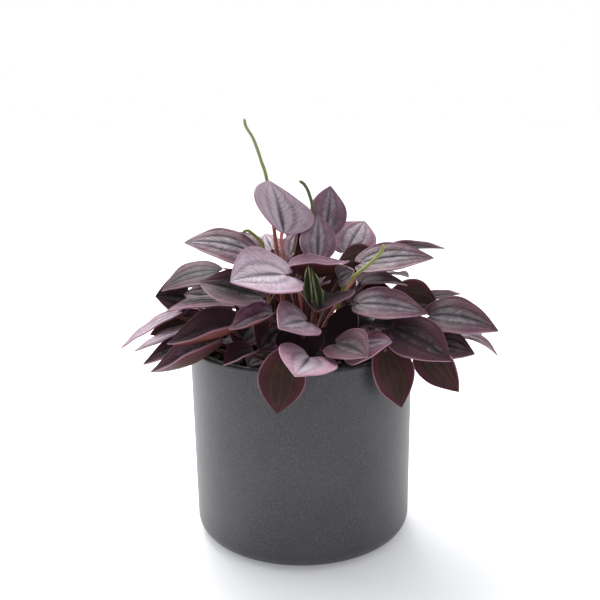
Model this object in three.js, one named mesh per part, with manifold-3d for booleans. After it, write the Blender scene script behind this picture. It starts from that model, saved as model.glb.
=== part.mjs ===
// A potted peperomia: a round cover pot, the thin nursery pot that stands in it, the soil, and a
// bushy plant of six crowns with arching leaves and slender flower spikes.
// Millimetres, +Z up. The origin is on the surface that the pot stands on, on the pot's axis.
// The plant is seen from the front along +Y, with +X to the right.

import * as THREE from 'three';
import { mergeVertices } from 'three/addons/utils/BufferGeometryUtils.js';
import Module from 'manifold-3d';

const wasm = await Module();
wasm.setup();

// ---------------------------------------------------------------- driving dimensions

const GAP = 0.3; // clearance between pieces that touch

const POT = {
  rimRadius: 65,
  baseRadius: 64,
  height: 116,
  wall: 4.5,
  floor: 6,
  heelRadius: 10, // outside, at the foot
  cornerRadius: 5, // inside, at the floor
  lipRadius: 1.6,
};
const LINER = {
  lipRadius: 59.6,
  lipHeight: 5,
  top: 112,
  neckRadius: 57.6,
  baseRadius: 46,
  wall: 1.2,
};
const DRAIN = { number: 5, radius: 4, circle: 28, sides: 10 };
const SOIL = { edge: 102, dome: 4, clearance: 0.36 };
const ROUND = 32; // sides of the round pieces

const CROWN = { radius: 4.6, depth: 9, rise: 7, sides: 8 };
const CROWNS = {
  crown_centre: [2, 3],
  crown_left: [-30, -6],
  crown_right: [31, -5],
  crown_front: [3, -33],
  crown_back_left: [-21, 29],
  crown_back_right: [23, 28],
};

// What a blade has unless its own line says otherwise. full is under 1 where a leaf is widest near
// its stalk. dip says how far below the blade its stalk comes from.
const BLADE = { cup: 0.3, arch: 0.05, skew: 0, lobe: 0.5, full: 0.7, dip: 0.85 };
const SHEET = { thickness: 0.8, pleat: 0.5, vein: 0.45 };
const CURVE = { belly: 0.95, cup: 1.25, lobeAcross: 1.5, lobeAtStalk: 0.35, lobeAtTip: 4 }; // exponents
const ACROSS = [-1, -0.45, -0.22, 0, 0.22, 0.45, 1]; // midrib at 0, side veins at 0.45, crests between
const ALONG = [0, 0.06, 0.3, 0.66, 1]; // from the stalk to the tip
const ALONG_LOBED = [0, 0.02, 0.1, 0.3, 0.62, 1];
const LOBED = 0.75; // a leaf with this much lobe has the rows above

const STALK = {
  radius: 1.2,
  topRadius: 0.9,
  sides: 4,
  steps: 3,
  circle: 2.5, // the roots stand this far from the crown's axis
  sunk: 3, // and start this far below its top
  climb: 10, // at least this far up before a stalk turns outwards
  lean: 0.15, // share of its way out at that turn
  approach: 13, // the last stretch towards the blade
  slant: 0.45, // share of that stretch behind the blade
  seat: [1.2, 0.6], // how far a stalk's end reaches in along the blade and down
};
const SPIKE = { root: 1.4, tip: 0.9, sides: 6, steps: 10, depth: 8, room: 0.4, holeSides: 8 };

// ---------------------------------------------------------------- small tools

const vec = (p) => new THREE.Vector3(...p);
const lerp = THREE.MathUtils.lerp;

// A closed geometry as a solid: vertices joined by place, triangles without area dropped.
function solidOf(geometry) {
  const bare = geometry.clone();
  bare.deleteAttribute('normal');
  bare.deleteAttribute('uv');
  const welded = mergeVertices(bare, 1e-4);
  const index = welded.index.array;
  const triVerts = [];
  for (let i = 0; i < index.length; i += 3) {
    const [a, b, c] = [index[i], index[i + 1], index[i + 2]];
    if (a !== b && b !== c && c !== a) triVerts.push(a, b, c);
  }
  const vertProperties = new Float32Array(welded.attributes.position.array);
  const mesh = new wasm.Mesh({ numProp: 3, vertProperties, triVerts: new Uint32Array(triVerts) });
  return new wasm.Manifold(mesh);
}

function geometryOf(solid) {
  const mesh = solid.getMesh();
  const geometry = new THREE.BufferGeometry();
  geometry.setAttribute('position', new THREE.BufferAttribute(new Float32Array(mesh.vertProperties), 3));
  geometry.setIndex(new THREE.BufferAttribute(new Uint32Array(mesh.triVerts), 1));
  geometry.computeVertexNormals();
  return geometry;
}

const joined = (solids) => solids.reduce((whole, piece) => whole.add(piece));

// A profile of [radius, height] points, turned about the Z axis.
function turned(profile, sides = ROUND) {
  const points = profile.map(([r, z]) => new THREE.Vector2(r, z));
  return new THREE.LatheGeometry(points, sides).rotateX(Math.PI / 2);
}

// Points of an arc in a profile, angles in degrees.
function arc(radius, height, size, from, to, steps = 2) {
  return Array.from({ length: steps + 1 }, (_, i) => {
    const angle = THREE.MathUtils.degToRad(lerp(from, to, i / steps));
    return [radius + size * Math.cos(angle), height + size * Math.sin(angle)];
  });
}

function post(x, y, radius, low, high, sides) {
  const cylinder = new THREE.CylinderGeometry(radius, radius, high - low, sides).rotateX(Math.PI / 2);
  return cylinder.translate(x, y, (low + high) / 2);
}

// A round rod along a curve whose radius runs from root to tip.
function rod(curve, root, tip, sides, steps) {
  const ring = Array.from({ length: sides }, (_, i) => {
    const angle = (2 * Math.PI * i) / sides;
    return new THREE.Vector2(root * Math.cos(angle), root * Math.sin(angle));
  });
  const options = { steps, extrudePath: curve, bevelEnabled: false };
  const geometry = new THREE.ExtrudeGeometry(new THREE.Shape(ring), options);
  const centres = curve.getSpacedPoints(steps);
  const place = geometry.attributes.position;
  const point = new THREE.Vector3();
  const closer = (k, best) => centres[k].distanceTo(point) < centres[best].distanceTo(point);
  for (let i = 0; i < place.count; i += 1) {
    point.fromBufferAttribute(place, i);
    const near = centres.reduce((best, centre, k) => (closer(k, best) ? k : best), 0);
    const scale = lerp(1, tip / root, near / steps);
    point.sub(centres[near]).multiplyScalar(scale).add(centres[near]);
    place.setXYZ(i, point.x, point.y, point.z);
  }
  return geometry;
}

// ---------------------------------------------------------------- pot, liner and soil

function potGeometry() {
  const { rimRadius, baseRadius, height, wall, floor, heelRadius, cornerRadius, lipRadius } = POT;
  const inside = rimRadius - wall;
  return turned([
    [0, 0],
    ...arc(baseRadius - heelRadius, heelRadius, heelRadius, -90, 0, 4),
    ...arc(rimRadius - lipRadius, height - lipRadius, lipRadius, 0, 90),
    ...arc(inside + lipRadius, height - lipRadius, lipRadius, 90, 180),
    ...arc(baseRadius - wall - cornerRadius, floor + cornerRadius, cornerRadius, 0, -90),
    [0, floor],
  ]);
}

const linerFloor = POT.floor + GAP;

function linerSolid() {
  const { lipRadius, lipHeight, top, neckRadius, baseRadius, wall } = LINER;
  const shell = solidOf(turned([
    [0, linerFloor],
    [baseRadius, linerFloor],
    [neckRadius, top - lipHeight],
    [lipRadius, top - lipHeight],
    [lipRadius, top],
    [neckRadius - wall, top],
    [neckRadius - wall, top - lipHeight],
    [baseRadius - wall, linerFloor + wall],
    [0, linerFloor + wall],
  ]));
  const drains = Array.from({ length: DRAIN.number }, (_, i) => {
    const turn = (2 * Math.PI * i) / DRAIN.number;
    const x = DRAIN.circle * Math.cos(turn);
    const y = DRAIN.circle * Math.sin(turn);
    return solidOf(post(x, y, DRAIN.radius, linerFloor - wall, linerFloor + 2 * wall, DRAIN.sides));
  });
  return drains.reduce((rest, hole) => rest.subtract(hole), shell);
}

const soilHeight = (r) => SOIL.edge + SOIL.dome * Math.cos((Math.PI / 2) * (r / LINER.neckRadius));

function soilSolid(stems) {
  const { neckRadius, baseRadius, wall, top, lipHeight } = LINER;
  const floor = linerFloor + wall + GAP;
  const slope = (neckRadius - baseRadius) / (top - lipHeight - linerFloor);
  const radiusAt = (z) => baseRadius - wall - SOIL.clearance + slope * (z - linerFloor - wall);
  const rim = radiusAt(SOIL.edge);
  const surface = [1, 0.7, 0.35, 0].map((part) => [rim * part, soilHeight(rim * part)]);
  const bulk = solidOf(turned([[0, floor], [radiusAt(floor), floor], ...surface]));
  return stems.reduce((rest, hole) => rest.subtract(hole), bulk);
}

// ---------------------------------------------------------------- leaves

// One leaf: the point where the stalk meets the blade, the tip, the width, the way that the upper
// face looks, and how much the blade cups, arches, leans to a side and runs back in two lobes.
const leaf = (crown, name, attach, tip, width, face, shape = {}) => (
  { crown, name, attach: vec(attach), tip: vec(tip), width, face: vec(face), ...BLADE, ...shape }
);

const PLACED_LEAVES = [
  leaf('crown_centre', 'top', [-9, -8, 180], [-17, 8, 208], 38, [0.8, -1, 0.2],
    { cup: 0.3, arch: 0.05, skew: 0.3, lobe: 0.1, full: 0.72 }),
  leaf('crown_centre', 'top_back', [15, 16, 174], [19, 30, 202], 25, [0.6, -1, 0.4],
    { cup: 0.1, arch: 0.03, lobe: 0.3, full: 0.9, dip: 0.3 }),
  leaf('crown_centre', 'centre_up', [10, -8, 165], [11, 8, 188], 21, [0.1, -1, 0.5],
    { arch: 0.03, lobe: 0.3, full: 0.66 }),
  leaf('crown_centre', 'young_pale', [-3, 10, 163], [1, 22, 178], 20, [-0.6, -1, 0.6], { cup: 0.2 }),
  leaf('crown_centre', 'young_dark', [-3, -3, 165], [0, 1, 182], 12, [0.6, 0.8, 0.3], { cup: 0.8 }),
  leaf('crown_centre', 'mid_edge', [-2, -22, 160], [27, -20, 166], 26, [0, 0, 1],
    { cup: 0.8, arch: -0.17 }),
  leaf('crown_left', 'left_bright', [-9, -38, 162], [-36, -58, 163], 39, [0.05, -0.6, 0.9],
    { cup: 0.2, lobe: 1.2, full: 0.78 }),
  leaf('crown_left', 'left_high', [-26, -10, 169], [-64, -18, 177], 32, [0, -0.5, 1],
    { cup: 0, arch: 0.08 }),
  leaf('crown_left', 'left_mid', [-48, 0, 157], [-80, -6, 147], 28, [-0.3, -0.4, 1],
    { cup: 0, arch: 0.12 }),
  leaf('crown_left', 'left_dark', [-21, -34, 149], [-57, -20, 155], 30, [0, -0.6, 1], { arch: 0.02 }),
  leaf('crown_left', 'left_maroon', [-37, 3, 136], [-69, 7, 142], 30, [0, -0.35, 1],
    { arch: 0.03, full: 1.1 }),
  leaf('crown_left', 'left_pink', [-42, -14, 142], [-76, -20, 138], 21, [-0.1, -0.1, 1],
    { cup: -0.05, arch: 0.1 }),
  leaf('crown_left', 'left_tail', [-68, 10, 139], [-85, 2, 142], 24, [-0.3, -0.9, 0.5], { cup: 0.2 }),
  leaf('crown_left', 'left_cup', [-36, -37, 132], [-72, -45, 127], 31, [0, -0.15, 1],
    { cup: 0.78, arch: -0.1 }),
  leaf('crown_left', 'small_cup', [-16, -48, 143], [-37, -62, 139], 19, [0.1, -0.1, 1],
    { cup: 0.7, arch: -0.08 }),
  leaf('crown_left', 'left_far1', [-72, -8, 134], [-104, -12, 115], 21, [-0.5, -0.1, 1],
    { cup: 0.1, arch: 0.04 }),
  leaf('crown_left', 'left_far2', [-68, 0, 122], [-97, -8, 112], 20, [-0.5, -0.1, 1],
    { cup: 0.2, arch: 0 }),
  leaf('crown_left', 'left_brown', [-60, 9, 126], [-90, 5, 118], 19, [0, 1, 0.3], { cup: 0.1 }),
  leaf('crown_left', 'low_left1', [-54, -16, 119], [-90, -22, 108], 24, [-0.3, -0.3, 1]),
  leaf('crown_left', 'low_left2', [-46, -37, 122], [-83, -38, 109], 30, [-0.1, -0.15, 1],
    { cup: 0.8, arch: -0.1 }),
  leaf('crown_front', 'low_front_left', [-26, -50, 123], [-41, -60, 119], 19, [0, -0.1, 1],
    { cup: 0.5, arch: 0.02 }),
  leaf('crown_front', 'hang_left', [-8, -66, 126], [-13, -72, 96], 25, [0.1, 1, 0.1],
    { cup: -0.2, arch: -0.03, full: 0.85 }),
  leaf('crown_front', 'front_pink', [4, -72, 126], [-3, -98, 125], 31, [0.25, -0.35, 0.95],
    { cup: 0.15, arch: 0.02, lobe: 1.2, full: 0.6 }),
  leaf('crown_front', 'front_mid', [2, -56, 141], [-11, -76, 143], 27, [0.15, -0.85, 1],
    { cup: 0.2, skew: 0.1, lobe: 1.2, full: 0.78 }),
  leaf('crown_front', 'front_right', [19, -58, 129], [33, -78, 128], 25, [-0.1, -0.65, 1],
    { cup: 0.2, skew: -0.1, lobe: 0.9, full: 0.78 }),
  leaf('crown_front', 'front_right_pink', [26, -48, 123], [47, -62, 131], 25, [0, -0.6, 1],
    { cup: -0.1 }),
  leaf('crown_front', 'centre_dark', [15, -26, 149], [8, -52, 145], 32, [0.1, -0.3, 1], { cup: 0.4 }),
  leaf('crown_front', 'young_green', [5, -46, 148], [4, -45, 168], 4, [-0.4, -1, 0.2],
    { cup: 0.9, lobe: 0.2 }),
  leaf('crown_front', 'young_twin', [10, -46, 146], [6, -45, 167], 4, [0.6, -1, 0.2],
    { cup: 0.9, lobe: 0.2 }),
  leaf('crown_front', 'right_high', [35, -12, 163], [75, -16, 166], 26, [0, -0.5, 1],
    { cup: 0.1, arch: 0.06, dip: 1.2 }),
  leaf('crown_right', 'right_mid', [32, -36, 145], [68, -44, 141], 26, [0, -0.5, 1],
    { cup: 0.15, arch: 0.05 }),
  leaf('crown_right', 'right_long', [74, -14, 132], [112, -20, 124], 33, [-0.05, -0.45, 1],
    { cup: 0.1, arch: 0.1 }),
  leaf('crown_right', 'right_edge2', [75, -4, 121], [106, -4, 118], 26, [0, 0.1, 1],
    { cup: 0.2, dip: -0.1 }),
  leaf('crown_right', 'right_low', [73, -25, 118], [96, -34, 115], 27, [0, -0.4, 1],
    { cup: 0.1, dip: -0.2 }),
  leaf('crown_right', 'right_far', [95, 10, 113], [118, 5, 102], 25, [0.3, 0, 1],
    { cup: 0.2, arch: 0.1, dip: -0.8 }),
  leaf('crown_right', 'right_dark', [49, -42, 133], [79, -56, 118], 30, [0, -0.75, 1],
    { cup: 0.1, arch: 0.06, skew: 0.1, lobe: 0.3, full: 0.74 }),
  leaf('crown_right', 'low_right', [68, -35, 118], [87, -39, 95], 25, [0.6, 1, 0.3],
    { cup: -0.1, arch: -0.03, dip: 0.2 }),
  leaf('crown_right', 'hang_right', [44, -48, 123], [53, -55, 92], 25, [-0.5, 1, 0.1],
    { cup: -0.2, arch: -0.03, full: 0.85 }),
  leaf('crown_right', 'right_olive', [50, -5, 138], [82, 8, 133], 28, [0, 1, 0.4], { full: 0.9 }),
  leaf('crown_right', 'right_red', [68, 15, 131], [97, 20, 137], 26, [0, 0.4, 1], { arch: 0.03 }),
  leaf('crown_right', 'right_under', [36, -10, 151], [62, -4, 148], 28, [0, -0.1, 1]),
  leaf('crown_right', 'right_inner', [29, -14, 140], [57, -14, 142], 28, [0, -0.5, 1],
    { full: 0.9 }),
  leaf('crown_front', 'young_grey', [21, -28, 157], [29, -34, 163], 13, [-0.3, -0.9, 0.5],
    { cup: 0.4, lobe: 0.2, dip: 0.3 }),
  leaf('crown_back_right', 'right_back', [28, 16, 165], [41, 46, 178], 28, [0.1, -1, 0.9], { cup: 0.05 }),
  leaf('crown_back_right', 'right_edge', [47, 11, 165], [86, 15, 166], 26, [0, 0.25, 1], { arch: 0.03 }),
  leaf('crown_back_right', 'brown_back', [43, 12, 160], [21, -3, 161], 20, [0.5, 1, -0.1], { dip: -0.3 }),
  leaf('crown_left', 'inner_left', [-10, -33, 131], [-23, -45, 122], 28, [0, -0.9, 0.8]),
  leaf('crown_front', 'inner_front', [14, -34, 132], [28, -44, 124], 34, [0, -0.9, 0.8]),
  leaf('crown_front', 'inner_mid', [-1, -42, 132], [0, -53, 115], 26, [0, -1, 0.6]),
  leaf('crown_right', 'inner_right', [41, -19, 129], [56, -40, 131], 27, [0, -0.3, 1]),
  leaf('crown_centre', 'inner_centre', [4, 0, 147], [1, -24, 149], 28, [0, -0.3, 1]),
  leaf('crown_left', 'inner_far_left', [-26, -24, 132], [-36, -38, 122], 28, [0, -0.9, 0.7]),
  leaf('crown_right', 'inner_low_right', [42, -24, 119], [62, -30, 119], 24, [0.1, -0.2, 1]),
  leaf('crown_back_left', 'inner_back_left', [-13, 19, 149], [-37, 22, 155], 22, [-0.1, -0.1, 1]),
  leaf('crown_back_left', 'behind_pale', [-17, 25, 165], [-22, 39, 172], 13, [0, -1, 0.8], { cup: 0.1 }),
];

// Rings of like leaves fill the far side and the shade under the leaves placed one by one. Angles run
// anticlockwise from +X, seen from above, in degrees.
const RINGS = [
  {
    name: 'rim',
    turns: [34, 60, 86, 112, 136, 155],
    reach: [62, 96],
    height: [126, 108],
    width: 29,
    dip: 0.4,
  },
  {
    name: 'shoulder',
    turns: [28, 54, 80, 104, 128, 147],
    reach: [46, 81],
    height: [143, 139],
    width: 29,
    dip: 0.85,
  },
  {
    name: 'upper',
    turns: [80, 110, 162],
    reach: [28, 58],
    height: [161, 171],
    width: 28,
    dip: 0.85,
  },
  {
    name: 'inner',
    turns: [35, 66, 97, 128],
    reach: [25, 38],
    height: [128, 153],
    width: 28,
    dip: 0.6,
  },
  {
    name: 'shade',
    turns: [205, 238, 322],
    reach: [35, 50],
    height: [115, 118],
    width: 22,
    dip: 0.1,
  },
];
// What the leaves of all rings share, and how far each may differ from its ring's own values.
const RING_LEAF = { outward: 0.3, cup: 0.2, arch: 0.07, stagger: 4 };
const VARY = { turn: 0.12, near: 3, far: 4, rise: 3, tilt: 0.15, cup: 0.15, width: 2 };

// A number from 0 to 1 that looks random but depends only on the two whole numbers given.
function scatter(i, k) {
  const wave = Math.sin(i * 12.9898 + k * 78.233) * 43758.5453;
  return wave - Math.floor(wave);
}

const nearestCrown = (x, y) => Object.keys(CROWNS).reduce((best, name) => (
  Math.hypot(x - CROWNS[name][0], y - CROWNS[name][1])
    < Math.hypot(x - CROWNS[best][0], y - CROWNS[best][1]) ? name : best
));

function ringLeaves({ name, turns, reach, height, width, dip }, ring) {
  return turns.map((degrees, i) => {
    const draw = (k, size) => (scatter(i + 1 + 20 * ring, k) - 0.5) * 2 * size;
    const turn = THREE.MathUtils.degToRad(degrees);
    const tipTurn = turn + draw(1, VARY.turn);
    const near = reach[0] + draw(2, VARY.near);
    const far = reach[1] + draw(3, VARY.far);
    const lift = i % 2 ? -RING_LEAF.stagger : RING_LEAF.stagger;
    const attach = [near * Math.cos(turn), near * Math.sin(turn), height[0] + lift];
    const end = height[1] + lift + draw(4, VARY.rise);
    const tip = [far * Math.cos(tipTurn), far * Math.sin(tipTurn), end];
    const face = [
      RING_LEAF.outward * Math.cos(turn) + draw(5, VARY.tilt),
      RING_LEAF.outward * Math.sin(turn) + draw(6, VARY.tilt),
      1,
    ];
    const shape = { cup: RING_LEAF.cup + draw(7, VARY.cup), arch: RING_LEAF.arch, dip };
    const crown = nearestCrown(attach[0], attach[1]);
    return leaf(crown, `${name}_${i + 1}`, attach, tip, width + draw(8, VARY.width), face, shape);
  });
}

const LEAVES = [...PLACED_LEAVES, ...RINGS.flatMap(ringLeaves)];

function leafAxes({ attach, tip, face }) {
  const along = tip.clone().sub(attach);
  const length = along.length();
  along.normalize();
  const up = face.clone().addScaledVector(along, -face.dot(along)).normalize();
  return { along, up, side: up.clone().cross(along), length };
}

// A point of the upper face: across from -1 to 1, along from 0 at the stalk to 1 at the tip.
function bladePoint(shape, axes, across, along) {
  const half = shape.width / 2;
  const open = along > 0 && along < 1;
  const swell = open ? Math.sin(Math.PI * along ** shape.full) ** CURVE.belly : 0;
  const aside = across * swell;
  const lobeHere = along ** CURVE.lobeAtStalk * (1 - along) ** CURVE.lobeAtTip;
  const forward = along - shape.lobe * Math.abs(across) ** CURVE.lobeAcross * lobeHere;
  const wave = Math.cos((2 * Math.PI * across) / SHEET.vein);
  const height = shape.arch * axes.length * 4 * forward * (1 - forward)
    + shape.cup * half * Math.abs(aside) ** CURVE.cup
    - SHEET.pleat * wave * swell * (1 - across ** 2);
  return shape.attach.clone()
    .addScaledVector(axes.along, forward * axes.length + shape.skew * aside * half)
    .addScaledVector(axes.side, aside * half)
    .addScaledVector(axes.up, height);
}

// The blade as a closed sheet of even thickness, both faces with the same triangles.
function bladeGeometry(shape) {
  const axes = leafAxes(shape);
  const shares = shape.lobe > LOBED ? ALONG_LOBED : ALONG;
  const last = shares.length - 1;
  const rows = shares.map((along, row) => (row === 0 || row === last ? [0] : ACROSS).map((across) => {
    const step = 0.02;
    const a = Math.min(Math.max(along, step), 1 - step);
    const at = (u, v) => bladePoint(shape, axes, u, v);
    const forward = at(across, a + step).sub(at(across, a - step));
    const aside = at(across + step, a).sub(at(across - step, a));
    const down = aside.cross(forward).normalize();
    return { upper: at(across, along), lower: at(across, along).addScaledVector(down, SHEET.thickness) };
  }));
  const points = [];
  rows.forEach((row) => row.forEach((p) => {
    p.top = points.push(p.upper) - 1;
    p.under = points.push(p.lower) - 1;
  }));
  const triangles = [];
  const face = (a, b, c) => triangles.push([a.top, b.top, c.top], [a.under, c.under, b.under]);
  const edge = (a, b) => triangles.push([a.top, a.under, b.under], [a.top, b.under, b.top]);
  for (let r = 0; r < last; r += 1) {
    const [near, far] = [rows[r], rows[r + 1]];
    const columns = Math.max(near.length, far.length) - 1;
    for (let c = 0; c < columns; c += 1) {
      const [n0, n1] = near.length === 1 ? [near[0], near[0]] : [near[c], near[c + 1]];
      const [f0, f1] = far.length === 1 ? [far[0], far[0]] : [far[c], far[c + 1]];
      if (f0 !== f1) face(n0, f0, f1);
      if (n0 !== n1) face(n0, f1, n1);
    }
    edge(near[0], far[0]);
    edge(far[far.length - 1], near[near.length - 1]);
  }
  const geometry = new THREE.BufferGeometry().setFromPoints(points);
  geometry.setIndex(triangles.flat());
  return geometry;
}

// The stalk leaves the crown's knob upwards, arches out and meets the blade from below and behind.
function stalkCurve(shape) {
  const [x, y] = CROWNS[shape.crown];
  const { along, up } = leafAxes(shape);
  const root = new THREE.Vector3(x, y, soilHeight(Math.hypot(x, y)) + CROWN.rise - STALK.sunk);
  const lean = shape.attach.clone().sub(root).setZ(0);
  root.addScaledVector(lean.clone().normalize(), STALK.circle);
  const climb = Math.max((shape.attach.z - root.z) / 2, STALK.climb);
  const start = root.clone().addScaledVector(lean, STALK.lean).add(new THREE.Vector3(0, 0, climb));
  const [forward, down] = STALK.seat;
  const end = shape.attach.clone().addScaledVector(along, forward).addScaledVector(up, -down);
  const turn = shape.attach.clone()
    .addScaledVector(along, -STALK.slant * STALK.approach)
    .addScaledVector(up, -shape.dip * STALK.approach);
  return new THREE.CubicBezierCurve3(root, start, turn, end);
}

function stalkSolid(shape) {
  return solidOf(rod(stalkCurve(shape), STALK.radius, STALK.topRadius, STALK.sides, STALK.steps));
}

function knobSolid(name) {
  const [x, y] = CROWNS[name];
  const ground = soilHeight(Math.hypot(x, y));
  return solidOf(post(x, y, CROWN.radius, ground - CROWN.depth, ground + CROWN.rise, CROWN.sides));
}

function crownSolid(name) {
  const own = LEAVES.filter((shape) => shape.crown === name);
  const grown = own.flatMap((shape) => [stalkSolid(shape), solidOf(bladeGeometry(shape))]);
  return joined([knobSolid(name), ...grown]);
}

// ---------------------------------------------------------------- flower spikes

// Each spike's route from the soil to its tip.
const SPIKES = {
  flower_spike_1: [
    [-9, 11, 110], [-12, 12, 150], [-18, 16, 203], [-22, 17, 219],
    [-26, 17, 231], [-30, 16, 238], [-31, 16, 243],
  ],
  flower_spike_2: [[9, 14, 110], [8, 15, 150], [8, 11, 187], [6, 11, 199], [3, 12, 205], [0, 12, 207]],
  flower_spike_3: [
    [-17, 7, 110], [-19, 4, 145], [-21, 2, 169], [-23, 2, 174],
    [-27, 2, 178], [-30, 2, 180], [-33, 2, 179],
  ],
  flower_spike_4: [
    [17, -23, 110], [20, -25, 135], [23, -25, 148], [28, -24, 156],
    [38, -23, 164], [45, -22, 171], [46, -22, 175],
  ],
};

const spikeFoot = (route) => {
  const [x, y] = route[0];
  return [x, y, soilHeight(Math.hypot(x, y)) - SPIKE.depth];
};

function spikeSolid(route) {
  const curve = new THREE.CatmullRomCurve3([vec(spikeFoot(route)), ...route.map(vec)]);
  return solidOf(rod(curve, SPIKE.root, SPIKE.tip, SPIKE.sides, SPIKE.steps));
}

// Plain holes in the soil for the crowns' stems and the spikes.
function stemHoles() {
  const hole = ([x, y], radius, depth, sides) => {
    const ground = soilHeight(Math.hypot(x, y));
    return solidOf(post(x, y, radius + GAP, ground - depth - GAP, ground + SOIL.dome, sides));
  };
  return [
    ...Object.values(CROWNS).map((place) => hole(place, CROWN.radius, CROWN.depth, CROWN.sides)),
    ...Object.values(SPIKES).map(([foot]) => (
      hole(foot, SPIKE.root + SPIKE.room, SPIKE.depth, SPIKE.holeSides)
    )),
  ];
}

// ---------------------------------------------------------------- the part

function material(color, roughness) {
  return new THREE.MeshStandardMaterial({ color, roughness, metalness: 0 });
}

const POT_GREY = material(0x4b4c4f, 0.75);
const LINER_BLACK = material(0x151515, 0.5);
const SOIL_BROWN = material(0x2a1f17, 1);
const LEAF_PURPLE = material(0x7c6672, 0.45);
const SPIKE_GREEN = material(0x9aa06a, 0.6);

const part = new THREE.Group();

function piece(name, geometry, finish) {
  const mesh = new THREE.Mesh(geometry, finish);
  mesh.name = name;
  part.add(mesh);
}

piece('pot', geometryOf(solidOf(potGeometry())), POT_GREY);
piece('nursery_pot', geometryOf(linerSolid()), LINER_BLACK);
piece('soil', geometryOf(soilSolid(stemHoles())), SOIL_BROWN);
Object.keys(CROWNS).forEach((name) => piece(name, geometryOf(crownSolid(name)), LEAF_PURPLE));
Object.entries(SPIKES).forEach(([name, route]) => piece(name, geometryOf(spikeSolid(route)), SPIKE_GREEN));

export default part;
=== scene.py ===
"""Potted peperomia: a bushy plant with grooved silver-purple leaves, in its nursery pot and cover pot.

Metres, +Z up. The origin is on the surface that the pot stands on, on the pot's axis. The plant is
seen from the front along +Y, with +X to the right. Places in the tables below are in millimetres.
"""

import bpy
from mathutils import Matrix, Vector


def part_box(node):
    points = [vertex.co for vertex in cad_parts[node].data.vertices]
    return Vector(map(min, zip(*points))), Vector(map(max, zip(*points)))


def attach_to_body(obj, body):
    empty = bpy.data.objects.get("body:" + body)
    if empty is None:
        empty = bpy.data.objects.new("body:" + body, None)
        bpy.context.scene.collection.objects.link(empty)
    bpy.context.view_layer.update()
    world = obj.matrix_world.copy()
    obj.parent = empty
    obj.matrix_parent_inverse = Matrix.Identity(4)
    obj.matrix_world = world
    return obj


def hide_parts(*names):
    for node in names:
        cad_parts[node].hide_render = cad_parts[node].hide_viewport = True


bl_info = {
    "name": "Potted peperomia",
    "version": (1, 0, 0),
    "blender": (4, 5, 0),
    "location": "3D View > Sidebar > Peperomia",
    "description": "Models a potted peperomia piece by piece in the frame of its solid model",
    "category": "Object",
}

import math
from contextlib import contextmanager
from types import SimpleNamespace

import bpy
import numpy as np
from bpy.props import FloatProperty, FloatVectorProperty, IntProperty, PointerProperty
from bpy.types import Operator, Panel, PropertyGroup
from mathutils import Matrix, Vector

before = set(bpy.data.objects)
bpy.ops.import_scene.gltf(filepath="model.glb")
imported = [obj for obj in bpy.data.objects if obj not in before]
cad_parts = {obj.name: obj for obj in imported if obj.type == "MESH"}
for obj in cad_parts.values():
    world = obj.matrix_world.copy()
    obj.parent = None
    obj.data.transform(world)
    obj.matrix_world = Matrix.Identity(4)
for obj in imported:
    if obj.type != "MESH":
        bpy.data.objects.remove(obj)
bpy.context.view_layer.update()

MM = 0.001
BODY = "root"

# How finely each kind of piece is divided.
POT_STEPS = 160
LINER_STEPS = 96
SOIL_STEPS = 120
SOIL_RINGS = 36
BLADE_COLUMNS = 48
BLADE_ROWS = 34
STALK_SIDES = 12
STALK_RINGS = 28
SPIKE_SIDES = 20
SPIKE_RINGS = 300

POT_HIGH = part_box("pot")[1]
LINER_LOW, LINER_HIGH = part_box("nursery_pot")
SOIL_LOW, SOIL_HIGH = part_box("soil")


# ---------------------------------------------------------------- sizes and colours a user would change


def amount(name, description, default, **more):
    return FloatProperty(name=name, description=description, default=default, min=0, **more)


def length(name, description, metres):
    return amount(name, description, metres, unit="LENGTH", precision=4)


def share(name, description, default):
    return amount(name, description, default, max=1, subtype="FACTOR")


def colour(name, description, *rgb):
    return FloatVectorProperty(
        name=name, description=description, default=rgb, min=0, max=1, size=3, subtype="COLOR"
    )


class PotSettings(PropertyGroup):
    """The round cover pot."""

    rim_radius: length("Rim radius", "Outer radius at the rim", POT_HIGH[0])
    base_radius: length("Base radius", "Outer radius just above the rounded heel", POT_HIGH[0] - 1 * MM)
    height: length("Height", "From the surface that it stands on to the rim", POT_HIGH[2])
    wall: length("Wall", "Thickness of the wall", 4.5 * MM)
    floor: length("Floor", "Thickness of the floor", 6 * MM)
    heel: length("Heel radius", "Rounding where the wall meets the base", 10 * MM)
    lip: length("Lip radius", "Rounding of the rim's two edges", 1.6 * MM)
    body: colour("Body", "Matte charcoal of the pot", 0.050, 0.049, 0.054)
    speck: colour("Speck", "Pale grains in the finish", 0.145, 0.145, 0.15)
    pit: colour("Pit", "Dark grains in the finish", 0.025, 0.025, 0.027)
    roughness: share("Roughness", "Roughness of the matte finish", 0.42)


class LinerSettings(PropertyGroup):
    """The thin nursery pot inside the cover pot."""

    lip_radius: length("Lip radius", "Outer radius of the lip", LINER_HIGH[0])
    lip_height: length("Lip height", "Height of the lip's band", 5 * MM)
    neck_radius: length("Neck radius", "Outer radius just under the lip", LINER_HIGH[0] - 2 * MM)
    base_radius: length("Base radius", "Outer radius of the floor", 46 * MM)
    wall: length("Wall", "Thickness of the plastic", 1.2 * MM)
    plastic: colour("Plastic", "Black plastic", 0.012, 0.012, 0.013)
    scuff: colour("Scuff", "Dusty scuffs on the plastic", 0.05, 0.045, 0.04)


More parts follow.
